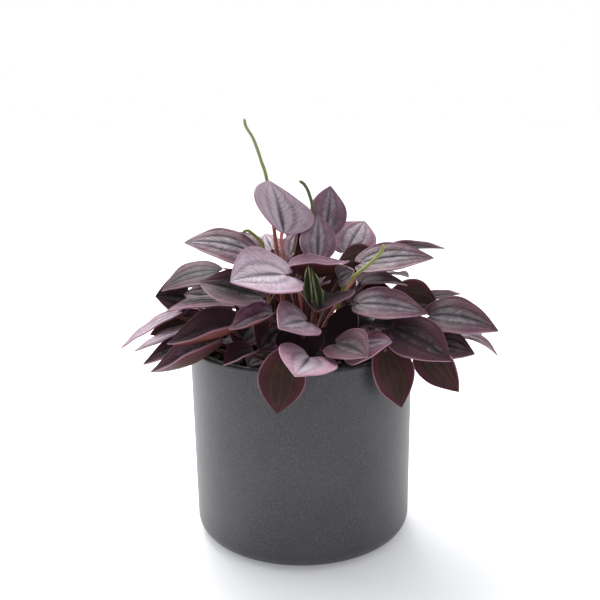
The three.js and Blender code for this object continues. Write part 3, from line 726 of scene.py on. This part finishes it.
def leaf_back_material(leaves):
    """The underside: olive-brown, maroon towards the edge, with paler raised veins."""
    shader = Shader("leaf_back")
    across, along = shader.blade_place()
    mottle = shader.noise(240, 3)
    from_vein = (abs(across) + (mottle - 0.5) * 0.03).fold(leaves.spacing / 2)
    vein = (1 - from_vein.step(0.005, 0.05)) * (1 - abs(across).step(0.5, 0.9))
    edge = (abs(across) + (mottle - 0.5) * 0.2 + along.step(0.6, 1.0) * 0.25).step(0.35, 1.0)
    body = shader.mix(edge, leaves.olive, leaves.maroon)
    body = shader.mix((vein * 0.16).clamped(), body, leaves.ridge)
    body = shader.mix(mottle.step(0.4, 0.65) * 0.35, body, leaves.maroon)
    # Faint random patches of painted light coming through the underside, in the Glow colour.
    glow_patch = shader.noise(95, 3)
    body = shader.mix(glow_patch.step(0.48, 0.68) * 0.08, body, leaves.glow)
    glow = shader.attribute("glow") * (0.75 + (mottle - 0.5) * 0.5 + along * 0.15)
    body = shader.mix(glow.clamped(), body, leaves.glow)
    line = (abs(across) + (mottle - 0.5) * 0.03).step(0.93, 0.99)
    body = shader.mix((line * 0.5).clamped(), body, leaves.rim)
    return shader.finished(
        base_color=body, roughness=0.46 + 0.14 * mottle, specular_ior_level=0.2,
        normal=shader.bump(1 - from_vein.step(0.0, 0.08), 0.5, 0.3 * MM),
    )


def leaf_rim_material(leaves):
    shader = Shader("leaf_rim")
    mottle = shader.noise(500)
    dark = shader.attribute("dark")
    green = shader.attribute("green")
    # A darker leaf gets a more maroon rim; where the dark value is over 1, this is painted shade.
    body = shader.mix((dark * 0.4 + mottle * 0.3 - 0.1).clamped(), leaves.rim, leaves.maroon)
    body = shader.mix(green, body, leaves.lime)
    return shader.finished(base_color=body, roughness=0.4)


def stalk_material(stalks):
    """Painted shade in dark red, or salmon red where a stalk is marked as in the light, with fine dark
    streaks.
    """
    shader = Shader("stalk_skin")
    drawn_out = shader.node("ShaderNodeMapping", {}, {"Vector": shader.place, "Scale": (1, 1, 0.2)})
    streak = shader.noise(900, 3, place=drawn_out)
    height = shader.part(shader.place, "Z") + (streak - 0.5) * (6 * MM)
    # Painted shade: most stalks are dark red; only the stalks marked as in the light stay salmon red.
    body = shader.mix(shader.attribute("in_light"), stalks.shade_and_streak_red, stalks.red)
    body = shader.mix((1 - height.step(108 * MM, 116 * MM)) * 0.8, body, stalks.stem)
    body = shader.mix(streak.step(0.45, 0.75) * 0.3, body, stalks.shade_and_streak_red)
    return shader.finished(
        base_color=body, roughness=0.38 + 0.1 * streak, normal=shader.bump(streak, 0.2, 0.2 * MM),
    )


def spike_material(spikes):
    """Packed tiny flowers: yellow-green when fresh, straw when over, on a salmon red stalk."""
    shader = Shader("spike_skin")
    ripe = shader.attribute("ripe")
    along = shader.attribute("along")
    grain = shader.noise(1900, 2, 0.6)
    fresh = shader.mix((ripe * along.step(-0.1, 0.5)).clamped(), spikes.lime, spikes.straw)
    body = shader.mix(shader.attribute("deep"), fresh, spikes.deep)
    body = shader.mix(grain.step(0.45, 0.7) * 0.3, body, spikes.deep)
    body = shader.mix(along.step(-0.08, 0.04), spikes.foot, body)
    return shader.finished(
        base_color=body, roughness=0.5 + 0.15 * grain, normal=shader.bump(grain, 0.4, 0.3 * MM),
    )


def pot_material(pot):
    """Matte charcoal with fine pale and dark grains."""
    shader = Shader("pot_glaze")
    cloud = shader.noise(28, 3)
    grit = shader.noise(1500, 2, 0.6)
    dust = shader.noise(2300, 1)
    body = shader.mix(grit.step(0.50, 0.66) * 0.42, pot.body, pot.speck)
    body = shader.mix((1 - grit.step(0.36, 0.50)) * 0.5, body, pot.pit)
    body = shader.mix(cloud.step(0.35, 0.75) * 0.12, body, pot.speck)
    return shader.finished(
        base_color=body, roughness=pot.roughness + 0.12 * (grit - 0.5), specular_ior_level=0.5,
        normal=shader.bump(grit * 0.6 + dust * 0.4, 0.35, 0.12 * MM),
    )


def plastic_material(liner):
    shader = Shader("nursery_plastic")
    scuff = shader.noise(420, 4, 0.65)
    body = shader.mix(scuff.step(0.5, 0.8) * 0.25, liner.plastic, liner.scuff)
    return shader.finished(
        base_color=body, roughness=0.36 + 0.2 * scuff, normal=shader.bump(scuff, 0.15, 0.1 * MM),
    )


def soil_material(soil):
    shader = Shader("potting_mix")
    clod = shader.noise(330, 5, 0.7)
    fibre = shader.noise(1500, 3, 0.6)
    body = shader.mix(clod.step(0.4, 0.7) * 0.5, soil.peat, soil.bark)
    body = shader.mix(fibre.step(0.62, 0.75) * 0.35, body, soil.fibre)
    return shader.finished(
        base_color=body, roughness=0.95, normal=shader.bump(clod * 0.7 + fibre * 0.3, 0.9, 0.8 * MM),
    )


def crumb_material(name, tint, dark):
    shader = Shader(name)
    grain = shader.noise(700, 4, 0.65)
    body = shader.mix(grain.step(0.35, 0.7), tint, dark)
    return shader.finished(base_color=body, roughness=0.9, normal=shader.bump(grain, 0.7, 0.5 * MM))


def floor_material(stage):
    shader = Shader("floor_white")
    cloud = shader.noise(5)
    body = shader.mix(cloud * 0.06, stage.floor, stage.worn)
    return shader.finished(
        base_color=body, roughness=0.5, specular_ior_level=0.3,
        emission_color=stage.floor, emission_strength=stage.glow,
    )


# ---------------------------------------------------------------- pot, liner and soil


class PEPEROMIA_OT_pot(Operator):
    """Turns the cover pot with its rounded heel and rim"""

    bl_idname = "peperomia.pot"
    bl_label = "Cover Pot"

    def execute(self, context):
        pot = context.scene.peperomia_pot
        inside = pot.rim_radius - pot.wall
        corner = pot.heel / 2
        profile = [
            (0, 0),
            *arc(pot.base_radius - pot.heel, pot.heel, pot.heel, -90, 0, 14),
            *arc(pot.rim_radius - pot.lip, pot.height - pot.lip, pot.lip, 0, 90, 7),
            *arc(inside + pot.lip, pot.height - pot.lip, pot.lip, 90, 180, 7),
            *arc(inside - MM - corner, pot.floor + corner, corner, 0, -90, 8),
            (0, pot.floor),
        ]
        piece = spun("cover_pot", profile, POT_STEPS)
        finish_piece(piece, "pot_glaze", [pot_material(pot)], "pot")
        return {"FINISHED"}


class PEPEROMIA_OT_nursery_pot(Operator):
    """Turns the thin nursery pot that the plant was grown in"""

    bl_idname = "peperomia.nursery_pot"
    bl_label = "Nursery Pot"

    def execute(self, context):
        liner = context.scene.peperomia_liner
        low = LINER_LOW[2]
        top = LINER_HIGH[2]
        neck = top - liner.lip_height
        turn = 0.5 * MM
        profile = [
            (0, low),
            *arc(liner.base_radius - turn, low + turn, turn, -90, 0, 3),
            (liner.neck_radius, neck),
            *arc(liner.lip_radius - turn, neck + turn, turn, -90, 0, 3),
            *arc(liner.lip_radius - turn, top - turn, turn, 0, 90, 4),
            *arc(liner.neck_radius - liner.wall + turn, top - turn, turn, 90, 180, 4),
            (liner.neck_radius - liner.wall, neck),
            (liner.base_radius - liner.wall, low + liner.wall),
            (0, low + liner.wall),
        ]
        piece = spun("grower_pot", profile, LINER_STEPS)
        finish_piece(piece, "nursery_plastic", [plastic_material(liner)], "nursery_pot")
        return {"FINISHED"}


def soil_height(soil, radius):
    reach = LINER_HIGH[0] - 2 * MM
    return soil.edge + soil.dome * math.cos(math.pi / 2 * radius / reach)


def on_soil(soil, x, y, rise=0):
    """The point of the soil's surface at x and y, or one that far above it."""
    return Vector((x, y, soil_height(soil, math.hypot(x, y)) + rise))


def rough_crumb(seed):
    """One broken lump of radius 1: a sphere flattened and pushed about."""
    deselect_all()
    bpy.ops.mesh.primitive_ico_sphere_add(subdivisions=2, radius=1)
    piece = named("lump")
    with editing_all():
        bpy.ops.transform.resize(value=(1, 0.72, 0.5))
        bpy.ops.transform.vertex_random(offset=0.3, uniform=1, normal=0, seed=seed)
    return piece


def strew(name, number, size_range, soil, crumb_seed, seed):
    """Copies of a lump, turned and sized at random, over the soil's surface."""
    blank = rough_crumb(crumb_seed)
    inner = LINER_HIGH[0] - 6 * MM
    lumps = []
    for i in range(number):
        radius = inner * math.sqrt(scatter(i, seed))
        turn = 2 * math.pi * scatter(i, seed + 1)
        size = size_range[0] + (size_range[1] - size_range[0]) * scatter(i, seed + 2) ** 2
        lump = own_copy(blank)
        where = on_soil(soil, radius * math.cos(turn), radius * math.sin(turn), LUMP_RISE)
        spin = Matrix.Rotation(2 * math.pi * scatter(i, seed + 3), 4, "Z")
        lean = Matrix.Rotation((scatter(i, seed + 4) - 0.5) * 1.4, 4, "X")
        lump.data.transform(Matrix.Translation(where) @ spin @ lean @ Matrix.Scale(size, 4))
        lumps.append(lump)
    bpy.data.objects.remove(blank)
    piece = joined(lumps, name)
    bpy.ops.object.shade_smooth_by_angle(angle=math.radians(35))
    return piece


class PEPEROMIA_OT_soil(Operator):
    """Fills the nursery pot with potting mix, bark crumbs and white grains"""

    bl_idname = "peperomia.soil"
    bl_label = "Potting Mix"

    def execute(self, context):
        soil = context.scene.peperomia_soil
        radii = [SOIL_HIGH[0] * (1 - i / SOIL_RINGS) for i in range(SOIL_RINGS + 1)]
        surface = [(radius, soil_height(soil, radius)) for radius in radii]
        profile = [(0, SOIL_LOW[2]), (soil.foot_radius, SOIL_LOW[2]), *surface]
        bed = spun("soil_bed", profile, SOIL_STEPS)
        self.roughen(bed, soil)
        finish_piece(bed, "potting_mix", [soil_material(soil)], "soil")

        crumbs = strew("bark_crumbs", soil.crumbs, CRUMB_SIZES, soil, crumb_seed=3, seed=30)
        finish_piece(crumbs, "potting_mix", [crumb_material("bark", soil.bark, soil.peat)])
        grains = strew("white_grains", soil.grains, GRAIN_SIZES, soil, crumb_seed=5, seed=50)
        finish_piece(grains, "potting_mix", [crumb_material("white_grain", soil.grain, soil.dust)])
        return {"FINISHED"}

    def roughen(self, bed, soil):
        """Raises lumps in the top surface alone."""
        texture = bpy.data.textures.new("lumps", "CLOUDS")
        texture.noise_scale = 5 * MM
        texture.noise_depth = 3
        group = bed.vertex_groups.new(name="top")
        top = [v.index for v in bed.data.vertices if v.co.z > soil.edge + 0.1 * MM]
        group.add(top, 1, "REPLACE")
        add_modifier(
            bed, "DISPLACE", texture=texture, texture_coords="LOCAL", strength=soil.lumps,
            mid_level=0.5, vertex_group="top", direction="Z",
        )


# ---------------------------------------------------------------- leaves


def blade_axes(shape):
    """The directions along the blade and out of its upper face, the one to its side, and its length."""
    along = shape.tip - shape.attach
    size = along.length
    along.normalize()
    up = (shape.face - along * shape.face.dot(along)).normalized()
    return along, up, up.cross(along), size


def blade_points(shape, settings, across, along, phase):
    """Points of the upper face: across from -1 to 1, along from 0 at the stalk to 1 at the tip."""
    forward_axis, up_axis, side_axis, size = blade_axes(shape)
    half = shape.width / 2
    swell = np.sin(np.pi * along ** shape.full).clip(0) ** 0.95
    aside = across * swell
    back = np.abs(across) ** 1.5 * shape.lobe * along ** 0.35 * (1 - along) ** 4
    forward = along - back

    reach = settings.spacing / 2
    from_vein = reach - np.abs(np.abs(across) % settings.spacing - reach)
    panel = np.sin(np.pi / 2 * from_vein / reach) ** 0.7 - 0.6
    relief = settings.groove * panel * swell * (1 - 0.7 * np.abs(across)) * (1 - np.abs(across) ** 6)
    ripple = settings.ripple * np.sin(2 * np.pi * (2.4 * along + phase)) * across ** 4 * swell
    height = shape.arch * size * 4 * forward * (1 - forward)
    height = height + shape.cup * half * np.abs(aside) ** 1.25 + relief + ripple

    run = forward * size + shape.skew * aside * half
    return (
        np.array(shape.attach)
        + np.outer(run, forward_axis)
        + np.outer(aside * half, side_axis)
        + np.outer(height, up_axis)
    )


def leaf_blank():
    """A flat grid, across from -1 to 1 and along from 0 to 1, closer at both ends, faces down."""
    deselect_all()
    bpy.ops.mesh.primitive_grid_add(
        x_subdivisions=BLADE_COLUMNS, y_subdivisions=BLADE_ROWS, size=2, calc_uvs=True
    )
    blank = named("leaf_blank")
    with editing_all():
        bpy.ops.mesh.flip_normals()
    mesh = blank.data
    points = points_of(mesh)
    even = (points[:, 1] + 1) / 2
    points[:, 1] = 0.5 * even + 0.25 * (1 - np.cos(np.pi * even))
    set_points(mesh, points)

    layer = mesh.uv_layers[0]
    layer.name = "blade"
    corners = np.empty(len(mesh.loops), dtype=np.int32)
    mesh.loops.foreach_get("vertex_index", corners)
    places = np.stack([(points[corners, 0] + 1) / 2, points[corners, 1]], axis=1)
    layer.data.foreach_set("uv", places.astype(np.float32).ravel())
    return blank


def lay_leaf(blank, shape, settings, number):
    """A copy of the blank, bent to one leaf's form."""
    piece = own_copy(blank)
    mesh = piece.data
    points = points_of(mesh)
    set_points(mesh, blade_points(shape, settings, points[:, 0], points[:, 1], scatter(number, 90)))
    dark, pink = LOOKS.get(shape.name, USUAL_LOOK)
    mark(mesh, "dark", dark)
    mark(mesh, "pink", pink)
    mark(mesh, "green", GREENS.get(shape.name, 0))
    mark(mesh, "glow", LIT_UNDERSIDES.get(shape.name, 0))
    return piece


class PEPEROMIA_OT_leaves(Operator):
    """Bends one grooved leaf for each place in the plan and gives it its thickness"""

    bl_idname = "peperomia.leaves"
    bl_label = "Leaves"

    def execute(self, context):
        settings = context.scene.peperomia_leaf
        blank = leaf_blank()
        materials = [leaf_face_material(settings), leaf_back_material(settings), leaf_rim_material(settings)]
        for crown in CROWNS:
            own = [(i, shape) for i, shape in enumerate(LEAVES) if shape.crown == crown]
            piece = joined([lay_leaf(blank, shape, settings, i) for i, shape in own], f"{crown}_leaves")
            finish_piece(piece, "leaf", materials, crown)
            self.thicken(piece, settings)
        bpy.data.objects.remove(blank)
        return {"FINISHED"}

    def thicken(self, piece, settings):
        only(piece)
        with editing_all():
            bpy.ops.mesh.remove_doubles(threshold=2e-6)
        add_modifier(
            piece, "SOLIDIFY", thickness=settings.thickness, offset=-1, use_rim=True,
            material_offset=1, material_offset_rim=2,
        )
        bpy.ops.object.shade_smooth_by_angle(angle=math.radians(60))


# ---------------------------------------------------------------- stalks, stems and spikes


def rod_blank(sides, rings):
    """A rod of radius 1 along Z from 0 to 1, with rings along it."""
    deselect_all()
    bpy.ops.mesh.primitive_cylinder_add(vertices=sides, radius=1, depth=1, location=(0, 0, 0.5))
    blank = named("rod_blank")
    bpy.ops.object.transform_apply(location=True, rotation=True, scale=True)
    bpy.ops.object.mode_set(mode="EDIT")
    bpy.ops.mesh.select_mode(type="EDGE")
    bpy.ops.mesh.select_all(action="DESELECT")
    bpy.ops.object.mode_set(mode="OBJECT")
    mesh = blank.data
    for edge in mesh.edges:
        low, high = (mesh.vertices[i].co.z for i in edge.vertices)
        edge.select = abs(high - low) > 0.5
    bpy.ops.object.mode_set(mode="EDIT")
    bpy.ops.mesh.subdivide(number_cuts=rings - 1)
    bpy.ops.mesh.select_mode(type="VERT")
    bpy.ops.object.mode_set(mode="OBJECT")
    return blank


def bezier(root, start, turn, end, number=60):
    t = np.linspace(0, 1, number)[:, None]
    root, start, turn, end = (np.array(p) for p in (root, start, turn, end))
    return (1 - t) ** 3 * root + 3 * (1 - t) ** 2 * t * start + 3 * (1 - t) * t ** 2 * turn + t ** 3 * end


def smooth_route(points, per_span=24):
    """A Catmull-Rom curve through the points."""
    points = np.array(points, dtype=float)
    ends = np.vstack([2 * points[0] - points[1], points, 2 * points[-1] - points[-2]])
    t = np.linspace(0, 1, per_span, endpoint=False)[:, None]
    spans = []
    for a, b, c, d in zip(ends, ends[1:], ends[2:], ends[3:]):
        spans.append(0.5 * (
            2 * b + (c - a) * t + (2 * a - 5 * b + 4 * c - d) * t ** 2 + (3 * b - a - 3 * c + d) * t ** 3
        ))
    return np.vstack([*spans, points[-1:]])


def lay_rod(blank, route, radius):
    """A copy of the rod, bent along the route. The radius is an array, one for each of its points."""
    steps = np.linalg.norm(np.diff(route, axis=0), axis=1)
    run = np.concatenate([[0], np.cumsum(steps)]) / steps.sum()
    piece = own_copy(blank)
    mesh = piece.data
    points = points_of(mesh)
    share_along = points[:, 2]
    centre = np.stack([np.interp(share_along, run, route[:, axis]) for axis in range(3)], axis=1)
    slope = np.gradient(route, run, axis=0)
    tangent = np.stack([np.interp(share_along, run, slope[:, axis]) for axis in range(3)], axis=1)
    tangent /= np.linalg.norm(tangent, axis=1, keepdims=True)
    guide = np.cross(route[-1] - route[0], ASIDE)
    first = np.cross(tangent, guide)
    first /= np.linalg.norm(first, axis=1, keepdims=True)
    second = np.cross(tangent, first)
    across = first * points[:, :1] + second * points[:, 1:2]
    set_points(mesh, centre + across * radius[:, None])
    return piece


def stalk_route(shape, settings, soil):
    """From the crown's stem upwards, out in an arch and into the blade from below and behind."""
    x, y = (value * MM for value in CROWNS[shape.crown])
    along, up, _, _ = blade_axes(shape)
    root = on_soil(soil, x, y, settings.stem_rise - 3 * MM)
    lean = shape.attach - root
    lean.z = 0
    root += lean.normalized() * settings.stem_radius * 0.55
    rise = max(shape.attach.z - root.z, 20 * MM)
    start = root + lean * 0.15 + Vector((0, 0, rise / 2))
    end = shape.attach + along * (1.2 * MM) - up * (0.6 * MM)
    turn = shape.attach - along * (0.45 * settings.approach) - up * (shape.dip * settings.approach)
    return bezier(root, start, turn, end)


def short_stem(crown, settings, soil):
    """The short fleshy stem of a crown, a cylinder rounded at both ends."""
    x, y = (value * MM for value in CROWNS[crown])
    ground = soil_height(soil, math.hypot(x, y))
    low, high = ground - settings.stem_depth, ground + settings.stem_rise
    deselect_all()
    bpy.ops.mesh.primitive_cylinder_add(
        vertices=24, radius=settings.stem_radius, depth=high - low, location=(x, y, (low + high) / 2)
    )
    stem = named("stem")
    bpy.ops.object.transform_apply(location=True, rotation=True, scale=True)
    add_modifier(stem, "BEVEL", width=1.6 * MM, segments=4, limit_method="ANGLE")
    return stem


class PEPEROMIA_OT_stalks(Operator):
    """Bends one stalk for each leaf and sets each crown's short stem in the mix"""

    bl_idname = "peperomia.stalks"
    bl_label = "Stalks and Stems"

    def execute(self, context):
        settings = context.scene.peperomia_stalk
        soil = context.scene.peperomia_soil
        blank = rod_blank(STALK_SIDES, STALK_RINGS)
        share_along = points_of(blank.data)[:, 2]
        swollen = 0.22 * np.exp(-((share_along - 1) / 0.05) ** 2)
        radius = settings.radius * (1 - (1 - settings.taper) * share_along + swollen)
        material = stalk_material(settings)
        for crown in CROWNS:
            parts = [short_stem(crown, settings, soil)]
            for shape in LEAVES:
                if shape.crown == crown:
                    stalk = lay_rod(blank, stalk_route(shape, settings, soil), radius)
                    # Painted shade: stalks not marked as in the light turn mostly dark red.
                    mark(stalk.data, "in_light", 1 if shape.name in STALKS_IN_LIGHT else 0.12)
                    parts.append(stalk)
            piece = joined(parts, f"{crown}_stalks")
            tidy_surface(piece, threshold=1e-7)
            finish_piece(piece, "stalk", [material], crown)
        bpy.data.objects.remove(blank)
        return {"FINISHED"}


class PEPEROMIA_OT_spikes(Operator):
    """Bends the slender flower spikes and packs them with tiny flowers"""

    bl_idname = "peperomia.spikes"
    bl_label = "Flower Spikes"

    def execute(self, context):
        settings = context.scene.peperomia_spike
        soil = context.scene.peperomia_soil
        blank = rod_blank(SPIKE_SIDES, SPIKE_RINGS)
        share_along = points_of(blank.data)[:, 2]
        closing = np.sqrt(np.clip((1 - share_along) / 0.008, 0.02, 1))
        radius = (settings.root + (settings.tip - settings.root) * share_along) * closing
        material = spike_material(settings)
        texture = bpy.data.textures.new("grains", "CLOUDS")
        texture.noise_scale = 0.7 * MM
        for node, (route, bare, ripe, deep) in SPIKES.items():
            points = [Vector(p) * MM for p in route]
            foot = on_soil(soil, points[0].x, points[0].y, -SPIKE_DEPTH)
            piece = lay_rod(blank, smooth_route([foot, *points]), radius)
            only(piece)
            named(f"{node}_grain")
            mark(piece.data, "along", share_along - bare)
            mark(piece.data, "ripe", ripe)
            mark(piece.data, "deep", deep)
            tidy_surface(piece, threshold=1e-7, angle=70)
            group = piece.vertex_groups.new(name="flowers")
            group.add([i for i, part in enumerate(share_along) if bare < part < 0.995], 1, "REPLACE")
            add_modifier(
                piece, "DISPLACE", texture=texture, texture_coords="LOCAL", strength=settings.grain,
                mid_level=0.5, vertex_group="flowers",
            )
            finish_piece(piece, "spike", [material], node)
        bpy.data.objects.remove(blank)
        return {"FINISHED"}


# ---------------------------------------------------------------- stage


class PEPEROMIA_OT_stage(Operator):
    """Sets the pale floor, the soft lights, the white backdrop and the camera"""

    bl_idname = "peperomia.stage"
    bl_label = "Stage"

    def execute(self, context):
        stage = context.scene.peperomia_stage
        deselect_all()
        bpy.ops.mesh.primitive_plane_add(size=FLOOR_WIDTH)
        floor = named("stage_floor")
        floor.data.materials.append(floor_material(stage))
        self.softbox("key_light", *KEY_LAMP, stage.key_power)
        self.softbox("side_light", *SIDE_LAMP, stage.side_power)
        self.backdrop(context.scene, stage)
        self.camera(context.scene, stage)
        context.scene.view_settings.view_transform = "Standard"
        return {"FINISHED"}

    def softbox(self, name, place, size, power):
        """A square lamp that faces the plant."""
        deselect_all()
        bpy.ops.object.light_add(type="AREA", location=place)
        lamp = bpy.context.object
        lamp.name = name
        lamp.rotation_euler = (LAMP_AIM - Vector(place)).to_track_quat("-Z", "Y").to_euler()
        lamp.data.size = size
        lamp.data.energy = power

    def backdrop(self, scene, stage):
        """White where the camera looks; for the plant, a tent that is brighter behind and above."""
        scene.world = bpy.data.worlds.new("studio_white")
        tree = Tree(scene.world)
        way = tree.node("ShaderNodeTexCoord", output="Generated")
        tent = tree.part(way, "Y").step(-0.7, 0.65) * stage.behind + stage.front
        roof = tree.part(way, "Z").step(0.2, 1) * stage.above
        seen = tree.node("ShaderNodeLightPath", output="Is Camera Ray")
        strength = tree.node("ShaderNodeMix", {}, {"Factor": seen, "A": tent + roof, "B": 1})
        background = tree.nodes["Background"]
        tree.plug(background.inputs["Color"], tuple(stage.backdrop))
        tree.plug(background.inputs["Strength"], strength)

    def camera(self, scene, stage):
        deselect_all()
        bpy.ops.object.camera_add(location=stage.eye)
        camera = bpy.context.object
        camera.name = "photo_camera"
        tilt = Matrix.Rotation(math.pi / 2 - stage.down, 3, "X")
        roll = Matrix.Rotation(stage.roll, 3, "Z")
        camera.rotation_euler = (tilt @ roll).to_euler()
        camera.data.sensor_width = SENSOR_WIDTH
        camera.data.lens = stage.lens
        scene.camera = camera


# ---------------------------------------------------------------- panel and start

SETTINGS = {
    "peperomia_pot": PotSettings,
    "peperomia_liner": LinerSettings,
    "peperomia_soil": SoilSettings,
    "peperomia_leaf": LeafSettings,
    "peperomia_stalk": StalkSettings,
    "peperomia_spike": SpikeSettings,
    "peperomia_stage": StageSettings,
}

OPERATORS = [
    PEPEROMIA_OT_stage,
    PEPEROMIA_OT_pot,
    PEPEROMIA_OT_nursery_pot,
    PEPEROMIA_OT_soil,
    PEPEROMIA_OT_leaves,
    PEPEROMIA_OT_stalks,
    PEPEROMIA_OT_spikes,
]


class PEPEROMIA_PT_panel(Panel):
    """Lists the pieces of the potted peperomia"""

    bl_idname = "PEPEROMIA_PT_panel"
    bl_label = "Potted Peperomia"
    bl_space_type = "VIEW_3D"
    bl_region_type = "UI"
    bl_category = "Peperomia"

    def draw(self, context):
        for operator in OPERATORS:
            self.layout.operator(operator.bl_idname)


def register():
    for group in SETTINGS.values():
        bpy.utils.register_class(group)
    for name, group in SETTINGS.items():
        setattr(bpy.types.Scene, name, PointerProperty(type=group))
    for operator in OPERATORS:
        bpy.utils.register_class(operator)
    bpy.utils.register_class(PEPEROMIA_PT_panel)


def unregister():
    bpy.utils.unregister_class(PEPEROMIA_PT_panel)
    for operator in reversed(OPERATORS):
        bpy.utils.unregister_class(operator)
    for name in SETTINGS:
        delattr(bpy.types.Scene, name)
    for group in reversed(SETTINGS.values()):
        bpy.utils.unregister_class(group)


def main():
    register()
    bpy.ops.peperomia.stage()
    bpy.ops.peperomia.pot()
    bpy.ops.peperomia.nursery_pot()
    bpy.ops.peperomia.soil()
    bpy.ops.peperomia.leaves()
    bpy.ops.peperomia.stalks()
    bpy.ops.peperomia.spikes()


if __name__ == "__main__":
    main()
